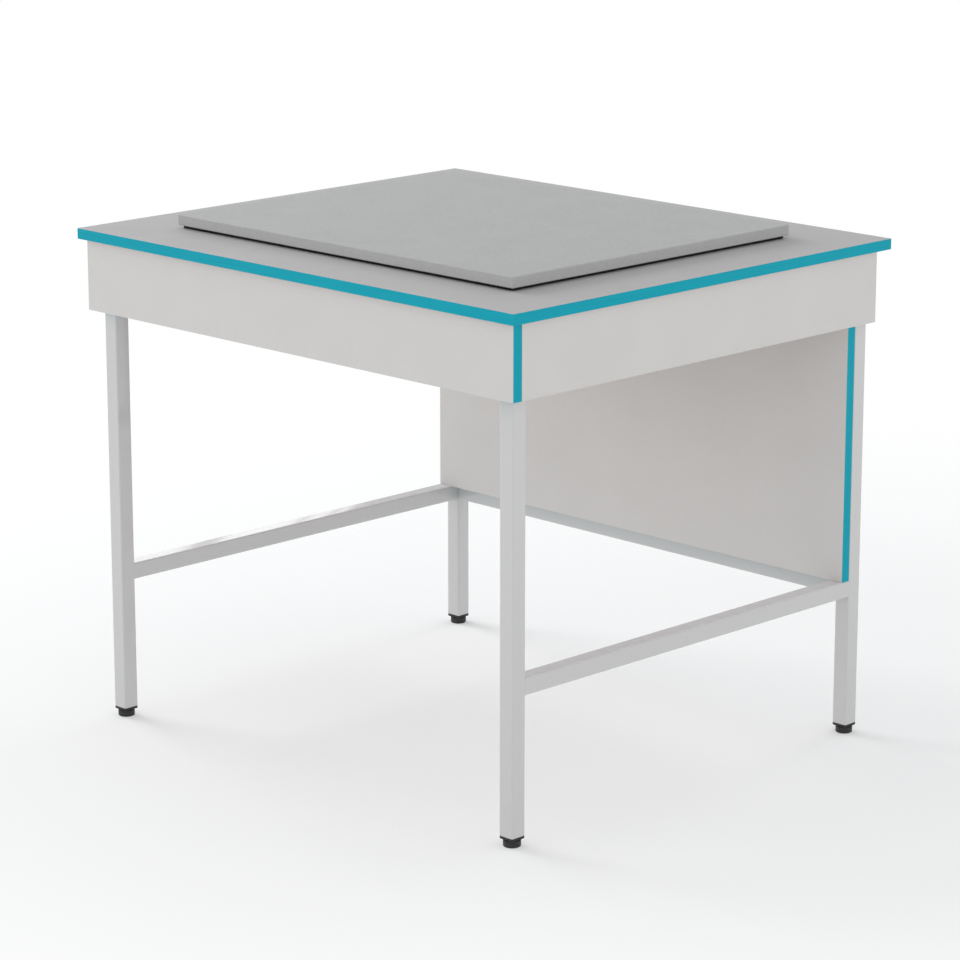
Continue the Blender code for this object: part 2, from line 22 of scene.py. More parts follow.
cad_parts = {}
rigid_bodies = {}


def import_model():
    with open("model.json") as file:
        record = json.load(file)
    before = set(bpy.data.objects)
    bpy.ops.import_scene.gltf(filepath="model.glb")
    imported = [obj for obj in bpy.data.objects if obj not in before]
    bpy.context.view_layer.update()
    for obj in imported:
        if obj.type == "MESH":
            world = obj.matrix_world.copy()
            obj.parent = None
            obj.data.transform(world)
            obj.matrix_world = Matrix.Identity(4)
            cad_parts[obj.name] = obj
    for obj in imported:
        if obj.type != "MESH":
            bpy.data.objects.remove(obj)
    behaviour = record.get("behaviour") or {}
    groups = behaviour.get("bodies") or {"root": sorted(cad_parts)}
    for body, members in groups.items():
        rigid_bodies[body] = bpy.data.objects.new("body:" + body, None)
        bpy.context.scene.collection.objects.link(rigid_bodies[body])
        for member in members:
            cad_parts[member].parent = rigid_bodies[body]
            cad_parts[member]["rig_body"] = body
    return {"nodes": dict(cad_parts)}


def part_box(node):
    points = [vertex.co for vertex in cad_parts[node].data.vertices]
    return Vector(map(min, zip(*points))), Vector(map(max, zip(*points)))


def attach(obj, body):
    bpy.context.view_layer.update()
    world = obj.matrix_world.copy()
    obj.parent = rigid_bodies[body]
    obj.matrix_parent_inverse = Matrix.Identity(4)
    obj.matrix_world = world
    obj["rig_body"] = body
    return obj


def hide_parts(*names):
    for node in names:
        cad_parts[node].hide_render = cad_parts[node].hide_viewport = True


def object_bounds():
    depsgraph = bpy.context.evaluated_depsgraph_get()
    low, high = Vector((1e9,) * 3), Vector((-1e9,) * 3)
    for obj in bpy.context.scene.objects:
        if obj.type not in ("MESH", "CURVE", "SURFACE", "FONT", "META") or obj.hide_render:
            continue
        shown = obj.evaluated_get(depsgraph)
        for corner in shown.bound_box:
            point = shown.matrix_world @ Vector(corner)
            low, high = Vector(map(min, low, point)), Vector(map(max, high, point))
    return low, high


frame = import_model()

MM = 0.001
AXES = (Vector((1, 0, 0)), Vector((0, 1, 0)), Vector((0, 0, 1)))
solid_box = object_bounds()
print("box of the solids:", *(tuple(round(x, 4) for x in corner) for corner in solid_box))

# %% [markdown]
# ## The camera
#
# The photograph looks at the front right corner from a little above the worktop, from far away and
# through a long lens, so edges that are parallel almost stay so. A camera can be placed by eye, or
# from points whose real places are known. Here the table's own corners gave the place and the lens.
# The photograph keeps upright edges exactly parallel, which takes a level camera and a very large
# lens shift. This camera looks down a little instead, so that it frames the table from any side.

# %% Place the camera
CAMERA_PLACE = Vector((3.657, -3.653, 1.679))
CAMERA_AZIMUTH = math.radians(45.05)
CAMERA_ELEVATION = math.radians(14.12)
CAMERA_LENS_MM = 134.7
SENSOR_WIDTH_MM = 36

camera = bpy.data.objects.new("camera", bpy.data.cameras.new("camera"))
bpy.context.scene.collection.objects.link(camera)
bpy.context.scene.camera = camera
camera.data.sensor_width = SENSOR_WIDTH_MM
camera.data.lens = CAMERA_LENS_MM
level = math.cos(CAMERA_ELEVATION)
back = Vector(
    (math.sin(CAMERA_AZIMUTH) * level, -math.cos(CAMERA_AZIMUTH) * level, math.sin(CAMERA_ELEVATION))
)
camera.location = CAMERA_PLACE
camera.rotation_mode = "QUATERNION"
camera.rotation_quaternion = (-back).to_track_quat("-Z", "Y")
bpy.context.scene.view_settings.view_transform = "Standard"
middle = (solid_box[0] + solid_box[1]) / 2
print("camera:", round((CAMERA_PLACE - middle).length, 3), "m from the table's middle")

# %% [markdown]
# ## Helpers for shaders
#
# Colours are given as sRGB hex values, the way a paint program shows them, but a renderer adds light
# up in linear values, so one function turns the first into the second. A second one sets a node's
# sockets, each to a value or to another node's output. A third adds a node with settings of its own,
# and gives back its output, ready to be plugged into the next one.

# %% Colour and node helpers
WHITE = (1, 1, 1, 1)
MIX_COLOURS = {"data_type": "RGBA"}


def linear(hex_colour):
    """An sRGB hex colour as linear red, green, blue and alpha."""
    shares = [int(hex_colour[i : i + 2], 16) / 255 for i in (0, 2, 4)]
    return [s / 12.92 if s <= 0.04045 else ((s + 0.055) / 1.055) ** 2.4 for s in shares] + [1]


def set_sockets(node, sockets):
    """Give sockets, named by identifier, a value or a link from another node's output."""
    inputs = {socket.identifier: socket for socket in node.inputs}
    for name, value in sockets.items():
        if isinstance(value, bpy.types.NodeSocket):
            node.id_data.links.new(value, inputs[name])
        else:
            inputs[name].default_value = value


def add_node(tree, kind, settings, sockets, output=None):
    """Add a shader node and give back the output asked for, or else the first one in use."""
    node = tree.nodes.new("ShaderNode" + kind)
    for name, value in settings.items():
        setattr(node, name, value)
    set_sockets(node, sockets)
    if output:
        return node.outputs[output]
    return next((socket for socket in node.outputs if socket.enabled), None)


print("the pale grey BBBBBB is", round(linear("BBBBBB")[0], 3), "in linear values")

# %% [markdown]
# ## Studio light
#
# The object stands in an even, bright studio: its upright faces are almost as bright as its level
# ones, so the walls shed more light than the ceiling. The world gives that light, stronger near the
# horizon than overhead. The camera sees it as plain white, which makes the background and lights
# nothing more. Reflections see it at half strength, but for one bright reflector low behind the
# table. It stands in upright panels, some brighter than others, and they draw bright streaks along
# the top of the left lower rail. Dark at the feet and soon soft, the shadows run to the right and
# fainter ones forwards, so a big lamp hangs far out on the left and a smaller one behind. Two low
# ones fill the front and the right side and reach the panel and the legs' inner faces under the
# worktop.

# %% Light from the room
HORIZON_STRENGTH = 1.28
OVERHEAD_STRENGTH = 0.4

world = bpy.data.worlds.new("studio")
world.use_nodes = True
bpy.context.scene.world = world
tree = world.node_tree
tree.nodes.clear()
direction = add_node(tree, "TexCoord", {}, {}, "Generated")
ways = add_node(tree, "SeparateXYZ", {}, {"Vector": direction}).node.outputs
glow = add_node(
    tree,
    "MapRange",
    {},
    {"Value": ways["Z"], "To Min": HORIZON_STRENGTH, "To Max": OVERHEAD_STRENGTH},
)
print("room:", HORIZON_STRENGTH, "at the horizon,", OVERHEAD_STRENGTH, "overhead")

# %% The reflector in its panels
REFLECTOR_TOWARD = Vector((-0.793, 0.551, 0.259))
REFLECTOR_RADIUS = math.radians(9)
REFLECTOR_EDGE = math.radians(1)
PANELS_FROM, PANELS_TO = 136, 142  # degrees round from +X, seen from the table
PANEL_SHARES = {  # how bright the panels are at each of these, from 0 at the first to 1 at the last
    137.15: 0,
    137.2: 1,
    137.33: 1,
    137.39: 0.1,
    137.48: 0.15,
    137.55: 1,
    137.86: 1,
    137.91: 0.2,
    138.04: 0.2,
    138.09: 1,
    139.28: 1,
    139.38: 0.15,
    139.7: 0.1,
    139.8: 0.35,
    139.95: 0.95,
}

nearness = add_node(
    tree,
    "VectorMath",
    {"operation": "DOT_PRODUCT"},
    {"Vector": direction, "Vector_001": REFLECTOR_TOWARD},
    "Value",
)
inside = add_node(
    tree,
    "MapRange",
    {},
    {
        "Value": nearness,
        "From Min": math.cos(REFLECTOR_RADIUS),
        "From Max": math.cos(REFLECTOR_RADIUS - REFLECTOR_EDGE),
    },
)
round_about = add_node(
    tree, "Math", {"operation": "ARCTAN2"}, {"Value": ways["Y"], "Value_001": ways["X"]}
)
along_panels = add_node(
    tree,
    "MapRange",
    {},
    {
        "Value": round_about,
        "From Min": math.radians(PANELS_FROM),
        "From Max": math.radians(PANELS_TO),
    },
)
panels = add_node(tree, "ValToRGB", {}, {"Fac": along_panels})
for degrees, share in PANEL_SHARES.items():
    stop = panels.node.color_ramp.elements.new((degrees - PANELS_FROM) / (PANELS_TO - PANELS_FROM))
    stop.color = (share, share, share, 1)
lit = add_node(tree, "Math", {"operation": "MULTIPLY"}, {"Value": inside, "Value_001": panels})
print("reflector:", round(math.degrees(REFLECTOR_RADIUS)), "degrees in radius")

# %% What each ray sees of the world
MIRRORED_STRENGTH = 0.5
REFLECTOR_STRENGTH = 1.35

mirrored = add_node(
    tree, "MapRange", {}, {"Value": lit, "To Min": MIRRORED_STRENGTH, "To Max": REFLECTOR_STRENGTH}
)
rays = add_node(tree, "LightPath", {}, {}).node.outputs
strength = add_node(
    tree, "Mix", {}, {"Factor_Float": rays["Is Glossy Ray"], "A_Float": glow, "B_Float": mirrored}
)
strength = add_node(
    tree, "Mix", {}, {"Factor_Float": rays["Is Camera Ray"], "A_Float": strength, "B_Float": 1}
)
sky = add_node(tree, "Background", {}, {"Color": WHITE, "Strength": strength})
add_node(tree, "OutputWorld", {}, {"Surface": sky})
print("world:", len(tree.nodes), "nodes")

# %% Hang the lamps
LAMP_TARGET = Vector((0, 0, 0.5))
LAMPS = {
    "left": {"place": Vector((-7.0, -0.6, 3.2)), "size": 4.8, "power": 330},
    "rear": {"place": Vector((-0.4, 6.0, 4.5)), "size": 2.0, "power": 40},
    "front": {"place": Vector((-0.6, -4.2, 1.0)), "size": 3.0, "power": 7.5},
    "right": {"place": Vector((4.5, 0.5, 1.0)), "size": 2.0, "power": 9.5},
}

for name, values in LAMPS.items():
    lamp = bpy.data.objects.new(name, bpy.data.lights.new(name, "AREA"))
    bpy.context.scene.collection.objects.link(lamp)
    lamp.data.shape = "DISK"
    lamp.data.size = values["size"]
    lamp.data.energy = values["power"]
    lamp.location = values["place"]
    lamp.rotation_euler = (LAMP_TARGET - values["place"]).to_track_quat("-Z", "Y").to_euler()
    print("lamp:", name, round((LAMP_TARGET - values["place"]).length, 2), "m from the table")

# %% [markdown]
# ## The floor
#
# The floor is a plain pale sheet that fades to white further out, so that no horizon shows. A
# backdrop that curves up would do the same for one camera only. A flat disc with a shader that
# turns white with the distance from its middle does it from every side. The middle lies a little
# behind the table's, since the photograph's floor is whitest in front. It is still a floor: it
# takes the shadow and lights the undersides.

# %% Lay the floor
FLOOR_RADIUS = 14
FLOOR_SIDES = 96

shape = bmesh.new()
bmesh.ops.create_circle(shape, cap_ends=True, segments=FLOOR_SIDES, radius=FLOOR_RADIUS)
mesh = bpy.data.meshes.new("floor")
shape.to_mesh(mesh)
shape.free()
floor = bpy.data.objects.new("floor", mesh)
bpy.context.scene.collection.objects.link(floor)
print("floor:", FLOOR_RADIUS * 2, "m across")

# %% Paint the floor
FLOOR_COLOUR = linear("F7F9FA")
FADE_MIDDLE = Vector((-0.04, 0.36, 0))
FADE_START, FADE_END = 0.4, 2.1
NEAR_WHITE_SHARE = 0.2

floor_paint = bpy.data.materials.new("floor_paint")
floor_paint.use_nodes = True
mesh.materials.append(floor_paint)
tree = floor_paint.node_tree
tree.nodes.clear()
place = add_node(tree, "TexCoord", {}, {}, "Object")
distance = add_node(
    tree, "VectorMath", {"operation": "DISTANCE"}, {"Vector": place, "Vector_001": FADE_MIDDLE}, "Value"
)
fade = add_node(
    tree,
    "MapRange",
    {"interpolation_type": "SMOOTHSTEP"},
    {
        "Value": distance,
        "From Min": FADE_START,
        "From Max": FADE_END,
        "To Min": NEAR_WHITE_SHARE,
        "To Max": 1,
    },
)
surface = add_node(
    tree,
    "MixShader",
    {},
    {
        "Fac": fade,
        "Shader": add_node(tree, "BsdfDiffuse", {}, {"Color": FLOOR_COLOUR}),
        "Shader_001": add_node(tree, "Emission", {}, {"Color": WHITE, "Strength": 1}),
    },
)
add_node(tree, "OutputMaterial", {}, {"Surface": surface})
print("floor: white from", FADE_END, "m out")

# %% [markdown]
# ## How every finish starts and ends
#
# Each finish begins with its name and the values that are the same all over it, set on the shader's
# own sockets. It ends with three links: a colour, a roughness and a relief, which the Bump node
# shows as dents without moving the surface. The patterns in between read Object coordinates, which
# are metres on these pieces, so a pattern's scale is simply how often it repeats in a metre. Most
# patterns are one noise whose values are spread evenly between two numbers, and most colours are a
# ground with others laid over it in layers, as a painter works, so both are functions too.

# %% Start and end a finish
def start_finish(name, values):
    """A new material with these values, its node tree, and the place that its patterns read."""
    material = bpy.data.materials.new(name)
    material.use_nodes = True
    set_sockets(material.node_tree.nodes["Principled BSDF"], values)
    return material, material.node_tree, add_node(material.node_tree, "TexCoord", {}, {}, "Object")


def end_finish(material, colour, roughness, relief, depth_mm):
    """Link a colour, a roughness and a relief of this depth into the finish's shader."""
    tree = material.node_tree
    normal = add_node(
        tree, "Bump", {}, {"Strength": 1, "Distance": depth_mm * MM, "Height": relief}
    )
    links = {"Base Color": colour, "Roughness": roughness, "Normal": normal}
    set_sockets(tree.nodes["Principled BSDF"], links)
    print("finish:", material.name, "with", len(tree.nodes), "nodes")


# %% Patterns
NOISE_LOW, NOISE_HIGH = 0.32, 0.68  # most of a noise's values lie between these
TURNED_AWAY, SQUARE_ON = 0.4, 0.8  # cosines of the angle between a surface's normal and a direction


def per_metre(size_mm):
    """How often a pattern of this size repeats in a metre."""
    return 1 / (size_mm * MM)


def blotches(tree, place, size_mm, low=0, high=1, detail=2):
    """A random pattern with spots of this size, whose values run from low to high."""
    noise = add_node(
        tree, "TexNoise", {}, {"Vector": place, "Scale": per_metre(size_mm), "Detail": detail}
    )
    return add_node(
        tree,
        "MapRange",
        {},
        {"Value": noise, "From Min": NOISE_LOW, "From Max": NOISE_HIGH, "To Min": low, "To Max": high},
    )


def faces(tree, direction):
    """1 where the surface faces a direction squarely, and 0 where it is turned well away."""
    normal = add_node(tree, "TexCoord", {}, {}, "Normal")
    cosine = add_node(
        tree,
        "VectorMath",
        {"operation": "DOT_PRODUCT"},
        {"Vector": normal, "Vector_001": direction},
        "Value",
    )
    return add_node(
        tree, "MapRange", {}, {"Value": cosine, "From Min": TURNED_AWAY, "From Max": SQUARE_ON}
    )


def layered(tree, ground, *layers):
    """A ground colour with others laid over it, each as thickly as its pattern says."""
    colour = linear(ground)
    for pattern, over in layers:
        colour = add_node(
            tree,
            "Mix",
            MIX_COLOURS,
            {"Factor_Float": pattern, "A_Color": colour, "B_Color": linear(over)},
        )
    return colour


print("a 3 mm pattern repeats", round(per_metre(3)), "times in a metre")

# %% [markdown]
# ## Grey laminate
#
# The worktop is chipboard faced with high-pressure laminate: printed paper and resin, pressed hot
# under a textured plate. To the eye it is an even light grey with a faint fleck, and a fine pearl
# texture breaks its reflections up. The plate's texture is about 0.3 mm in reality, too fine to
# show from here, so it is drawn at 3 mm and kept shallow. The underside carries a plain reddish
# brown backing sheet, which keeps the board from warping and throws a warm light on the panel.

# %% Grey laminate
grey_laminate, tree, place = start_finish("high_pressure_laminate", {"Specular IOR Level": 0.1})
paper = layered(
    tree,
    "BBBABB",
    (blotches(tree, place, size_mm=120), "BEBDBE"),
    (faces(tree, -AXES[2]), "BD9B98"),
)
fleck = blotches(tree, place, size_mm=3, low=0.975, high=1.01)
flecked = add_node(tree, "VectorMath", {"operation": "SCALE"}, {"Vector": paper, "Scale": fleck})
roughness = blotches(tree, place, size_mm=40, low=0.5, high=0.6)
pearl = blotches(tree, place, size_mm=3, detail=1)
end_finish(grey_laminate, flecked, roughness, pearl, depth_mm=0.03)

# %% [markdown]
# ## White melamine
#
# The aprons and the rear panel are melamine-faced chipboard, a printed paper pressed straight onto
# the board. It is warmer and a touch greyer than paper white, and its pearl texture is a little
# coarser than the laminate's. The same patterns serve, with other values.

# %% White melamine
white_melamine, tree, place = start_finish("melamine_faced_board", {"Specular IOR Level": 0.35})
paper = layered(tree, "C7C6C4", (blotches(tree, place, size_mm=90), "C9C8C6"))
fleck = blotches(tree, place, size_mm=4, low=0.985, high=1.005)
flecked = add_node(tree, "VectorMath", {"operation": "SCALE"}, {"Vector": paper, "Scale": fleck})
roughness = blotches(tree, place, size_mm=50, low=0.45, high=0.55)
pearl = blotches(tree, place, size_mm=3.5, detail=1)
end_finish(white_melamine, flecked, roughness, pearl, depth_mm=0.04)

# %% [markdown]
# ## Teal and white edging
#
# The strips on the boards' edges are extruded ABS plastic, glued on hot, trimmed flush and buffed.
# The buffing wheel leaves faint lines along the strip, and the trimmed corners are scraped a little
# paler. The lines are much finer on the real strip and are drawn 1.4 mm wide so that they show. They
# are a noise stretched along the strip, so there is one finish for each direction that a strip can
# run in. The corners are where the surface faces no single axis. Teal strips edge what is seen from
# the front, and white ones the upright rear ends of the side aprons. In the photograph no strip
# shows teal on its narrow side, not even along the far edges: the worktop's laminate and the boards'
# white facing run on over it, so that side takes their colour.

# %% Teal and white edging
LINE_MM = 1.4
STRETCH = 60  # how much longer than wide a buffing line is
FLAT_SHARE, CORNER_SHARE = 0.97, 0.8  # how much of a normal lies along one axis, flat and on a corner
EDGING_TONES = {  # two tones of the plastic, and its scraped corners
    "teal": ("0596A9", "089CAF", "28A5B6"),
    "white": ("C7C6C4", "C9C8C6", "D0CFCD"),
}
LAMINATE_OVER = (AXES[2], "BCBBBC")  # which way a narrow side faces, and the facing that covers it
MELAMINE_OVER = (-AXES[1], "C8C7C5")


def make_edging(colour, along, covered, where=""):
    """The edging's finish in one colour, for strips along one axis with one covered side."""
    name = f"extruded_{colour}_abs_along_{'xyz'[along]}{where}"
    material, tree, place = start_finish(name, {"Specular IOR Level": 0.1})
    squeeze = [1, 1, 1]
    squeeze[along] = 1 / STRETCH
    stretched = add_node(tree, "Mapping", {}, {"Vector": place, "Scale": squeeze})
    lines = blotches(tree, stretched, LINE_MM)
    normal = add_node(tree, "NewGeometry", {}, {}, "Normal")
    sizes = add_node(tree, "VectorMath", {"operation": "ABSOLUTE"}, {"Vector": normal})
    along_x, *others = add_node(tree, "SeparateXYZ", {}, {"Vector": sizes}).node.outputs
    largest = along_x
    for other in others:
        largest = add_node(
            tree, "Math", {"operation": "MAXIMUM"}, {"Value": largest, "Value_001": other}
        )
    scraped = add_node(
        tree, "MapRange", {}, {"Value": largest, "From Min": FLAT_SHARE, "From Max": CORNER_SHARE}
    )
    dark, pale, corners = EDGING_TONES[colour]
    way, facing_colour = covered
    seen = layered(
        tree, dark, (lines, pale), (scraped, corners), (faces(tree, way), facing_colour)
    )
    roughness = blotches(tree, stretched, LINE_MM, low=0.34, high=0.44)
    end_finish(material, seen, roughness, lines, depth_mm=0.01)
    return material


edging = {
    ("teal_edging", 0): make_edging("teal", 0, LAMINATE_OVER),
    ("teal_edging", 1): make_edging("teal", 1, LAMINATE_OVER),
    ("teal_edging", 2): make_edging("teal", 2, MELAMINE_OVER),
    ("white_edging", 2): make_edging("white", 2, MELAMINE_OVER),
}
edging_below = make_edging("teal", 0, MELAMINE_OVER, where="_below")

# %% [markdown]
# ## Powder-coated steel
#
# The frame is steel tube, welded and then powder coated: dry paint, charged, sprayed on and melted
# into one skin. The skin is glossy, so seen at a low angle it mirrors what stands behind it, which
# is the work of the shader's clear coat. The melt leaves it a shallow orange peel, whose bumps are
# 1 to 2 mm wide on the real tube and are drawn at 3 mm so that they show. On the tubes' corners the
# paint runs thin and gets rubbed, so it is a touch brighter and smoother there. The tubes carry that
# as an attribute named corner, and pieces without one simply have none of it. What faces upwards is
# painted paler in uneven patches, a painted highlight that stands in for more light on the tops.

# %% Powder-coated steel
RUBBED_OFF = 0.02  # how much smoother a rubbed corner is

painted_steel, tree, place = start_finish(
    "powder_coated_steel", {"Coat Weight": 1, "Coat Roughness": 0.05}
)
corner = add_node(tree, "Attribute", {"attribute_name": "corner"}, {}, "Fac")
# Painted highlight: what faces upwards is painted paler, in uneven patches, in place of more light on
# the tops.
top_light_patches = blotches(tree, place, size_mm=15, low=0.6, high=0.8, detail=4)
painted_top_light = add_node(
    tree, "Math", {"operation": "MULTIPLY"}, {"Value": faces(tree, AXES[2]), "Value_001": top_light_patches}
)
dust_and_painted_top_light = layered(
    tree,
    "BBBBBB",
    (blotches(tree, place, size_mm=60), "BDBDBD"),
    (corner, "BFBFBF"),
    (painted_top_light, "EDEEF1"),
)
unrubbed = blotches(tree, place, size_mm=25, low=0.07, high=0.1)
roughness = add_node(
    tree,
    "Math",
    {"operation": "MULTIPLY_ADD"},
    {"Value": corner, "Value_001": -RUBBED_OFF, "Value_002": unrubbed},
)
peel = blotches(tree, place, size_mm=3, detail=1)
end_finish(painted_steel, dust_and_painted_top_light, roughness, peel, depth_mm=0.015)

# %% [markdown]
# ## Honed granite
#
# The slab that carries the centrifuge is grey granite, sawn and then honed with fine grit to a flat,
# matt face. Its grains of feldspar, quartz and mica are 1 to 3 mm across, and are drawn at 3 mm.
# Each grain has one colour, so cells with a random shade each suit it better than a noise. From a
# few metres away the grains melt into one grey, so their shades stay close. The mica takes the
# polish less than the rest. The sides below the top are painted a little darker than the top and
# without its greenish tint: a painted shade on the sides.

# %% Honed granite
GRAIN_MM = 3

grey_stone, tree, place = start_finish("honed_granite", {"Specular IOR Level": 0.2})
grains = add_node(tree, "TexVoronoi", {}, {"Vector": place, "Scale": per_metre(GRAIN_MM)}, "Color")
shade = add_node(tree, "SeparateXYZ", {}, {"Vector": grains}).node.outputs
grain_tone = add_node(tree, "MapRange", {}, {"Value": shade[0], "To Min": 0.96, "To Max": 1.03})
honed = layered(tree, "B4B6B5", (blotches(tree, place, size_mm=70), "B7B9B8"))
# Painted shade: every side but the top is painted a little darker than the top, and without its greenish
# tint.
honed_top_with_shaded_sides = add_node(
    tree,
    "Mix",
    MIX_COLOURS,
    {"Factor_Float": faces(tree, AXES[2]), "A_Color": linear("B2B2B2"), "B_Color": honed},
)
speckled = add_node(
    tree, "VectorMath", {"operation": "SCALE"}, {"Vector": honed_top_with_shaded_sides, "Scale": grain_tone}
)
roughness = add_node(tree, "MapRange", {}, {"Value": shade[1], "To Min": 0.5, "To Max": 0.66})
grit = blotches(tree, place, size_mm=2.5)
end_finish(grey_stone, speckled, roughness, grit, depth_mm=0.02)

# %% [markdown]
# ## Rubber, plastic and zinc
#
# Three small finishes are left. The mat is black sheet rubber, rolled between cloth, which leaves it
# matt, and it is a little dusty. The feet are black polyamide, moulded in a sparked tool, so they are
# finely grained, with a few pale scuffs from use. The studs, nuts and screws are steel with a thin
# coat of zinc, whose crystals give a cool, cloudy shine. Weave, grain and crystals are finer than
# this on the real pieces, and are drawn about a millimetre wide so that they show.

# %% Sheet rubber
black_rubber, tree, place = start_finish("rolled_sheet_rubber", {"Specular IOR Level": 0.3})
dust_and_painted_top_light = layered(tree, "171717", (blotches(tree, place, size_mm=12, detail=4), "222222"))
roughness = blotches(tree, place, size_mm=8, low=0.75, high=0.9)
weave = blotches(tree, place, size_mm=1.5, detail=1)
end_finish(black_rubber, dust_and_painted_top_light, roughness, weave, depth_mm=0.1)

# %% Moulded polyamide
black_plastic, tree, place = start_finish("moulded_polyamide", {"Specular IOR Level": 0.45})
scuffs = blotches(tree, place, size_mm=4, low=-0.6, detail=5)  # none where it is below 0
scuffed = layered(tree, "202020", (scuffs, "2E2E2E"))
roughness = blotches(tree, place, size_mm=6, low=0.42, high=0.56)
spark = blotches(tree, place, size_mm=0.8, detail=1)
end_finish(black_plastic, scuffed, roughness, spark, depth_mm=0.03)

# %% Zinc plating
zinc_plated_steel, tree, place = start_finish("zinc_plated_steel", {"Metallic": 1})
crystals = blotches(tree, place, size_mm=1.2, detail=3)
cloudy = layered(tree, "B6B9BD", (crystals, "D0D1CF"))
roughness = blotches(tree, place, size_mm=2.5, low=0.24, high=0.4)
end_finish(zinc_plated_steel, cloudy, roughness, crystals, depth_mm=0.01)

# %% [markdown]
# ## Dress the solids
#
# Boards, strips, slab, mat, plugs and nuts already have their right shapes, so they only change
# their material. Each solid says which finish it wants by the name of the one that it came with.
# A strip of edging takes the finish that runs along its longest side.

# %% Dress the solids
FINISHES = {
    "grey_laminate": grey_laminate,
    "white_melamine": white_melamine,
    "painted_steel": painted_steel,
    "grey_stone": grey_stone,
    "black_rubber": black_rubber,
    "black_plastic": black_plastic,
    "zinc_plated_steel": zinc_plated_steel,
}


def longest_side(low, high):
    """Which axis, 0, 1 or 2, a box is longest along."""
    size = high - low
    return max(range(3), key=lambda axis: size[axis])


for name, node in frame["nodes"].items():
    wanted = node.material_slots[0].material.name
    if wanted in FINISHES:
        node.material_slots[0].material = FINISHES[wanted]
    else:
        node.material_slots[0].material = edging[wanted, longest_side(*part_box(name))]
print("dressed:", len(frame["nodes"]), "solids")

# %% [markdown]
# ## From shape to piece
#
# New pieces are built as bmeshes. One function finishes them all: it merges points that lie on each
# other, turns the faces outwards, shades round parts smooth and keeps real edges sharp. Then the
# piece rides on its body, so that it moves with the table, and hides the solid that it stands for.
# Two small functions more turn and place copies of a mesh, for what repeats.

# %% Turn a shape into a piece
MERGE = 0.005 * MM
SHARP_ANGLE = math.radians(35)


def to_mesh(name, shape):
    """A finished shape as a mesh."""
    mesh = bpy.data.meshes.new(name)
    shape.to_mesh(mesh)
    shape.free()
    return mesh


def make_piece(name, shape, body, slot, *stands_for, finish=None):
    """Make a finished shape a piece that rides on a body and stands for some solids."""
    bmesh.ops.remove_doubles(shape, verts=shape.verts, dist=MERGE)
    bmesh.ops.recalc_face_normals(shape, faces=shape.faces)
    mesh = to_mesh(name, shape)
    mesh.shade_smooth()
    mesh.set_sharp_from_angle(angle=SHARP_ANGLE)
    mesh.materials.append(finish or FINISHES[slot])
    piece = bpy.data.objects.new(name, mesh)
    bpy.context.scene.collection.objects.link(piece)
    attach(piece, body)
    if stands_for:
        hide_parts(*stands_for)
    return piece


def add_copy(shape, mesh, matrix):
    """Add a copy of a finished mesh to a shape, placed by a matrix."""
    before = len(shape.verts)
    shape.from_mesh(mesh)
    shape.verts.ensure_lookup_table()
    bmesh.ops.transform(shape, matrix=matrix, verts=shape.verts[before:])


def facing(direction, place):
    """The matrix that turns +Z to a direction and moves the origin to a place."""
    return Matrix.Translation(place) @ direction.to_track_quat("Z", "Y").to_matrix().to_4x4()


print("points less than", MERGE / MM, "mm apart are merged")

# %% [markdown]
# ## Thin edging under two boards
#
# The lower edges of the front apron and the rear panel can't be seen, but the paint right under them
# is tinted teal, so they are edged too. Where nothing knocks against an edge, the strip is only a
# quarter of a millimetre thick, which also fits between the panel and the rails that it stands on.
# It is a cube flattened to that size, and its lower edges are bevelled, as the trimming knife leaves
# them.

# %% Thin edging under two boards
THIN_EDGING = 0.25 * MM
TRIMMED = 0.1 * MM


def box_shape(low, high):
    """A cube stretched to fill a box."""
    shape = bmesh.new()
    fill = Matrix.Translation((low + high) / 2) @ Matrix.Diagonal((*(high - low), 1))
    bmesh.ops.create_cube(shape, size=1, matrix=fill)
    return shape


def bevel_edges(shape, edges, width, steps):
    """Cut edges back by this width: flat in one step, round in more."""
    bmesh.ops.bevel(
        shape, geom=edges, offset=width, segments=steps, profile=0.5, affect="EDGES", material=-1
    )


for board in ("apron_front", "rear_panel"):
    low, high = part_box(board)
    high.z = low.z
    low.z -= THIN_EDGING
    shape = box_shape(low, high)
    trimmed = [edge for edge in shape.edges if all(vert.co.z < high.z - MERGE for vert in edge.verts)]
    bevel_edges(shape, trimmed, TRIMMED, steps=1)
    name = board + "_edging_below"
    make_piece(name, shape, "table", "teal_edging", finish=edging_below)
    print("strip:", name, round((high - low).x / MM), "mm long")

# %% [markdown]
# ## Square tubes
#
# The frame is welded from 25 mm square tube with a 1.5 mm wall, rolled so that its corners are round
# outside and almost sharp inside. A tube could be a profile swept along a line. Here it starts as a
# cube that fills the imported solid's box: its four long edges get round bevels, the end faces are
# inset by the wall, and the two holes that they leave are bridged by the inner faces. A weighted
# normal modifier keeps the flat sides flat in the light, although they share points with the
# corners.

# %% Square tubes
TUBE_WALL = 1.5 * MM
TUBE_CORNER = 2 * MM
CORNER_STEPS = 5
ALONG_SHARE = 0.99  # a direction lies along an axis when this share of it does


def bar_shape(low, high, along):
    """A solid square bar that fills a box, with round corners along one axis."""
    shape = box_shape(low, high)
    long_edges = [
        edge
        for edge in shape.edges
        if abs((edge.verts[0].co - edge.verts[1].co).normalized()[along]) > ALONG_SHARE
    ]
    bevel_edges(shape, long_edges, TUBE_CORNER, CORNER_STEPS)
    shape.normal_update()
    return shape


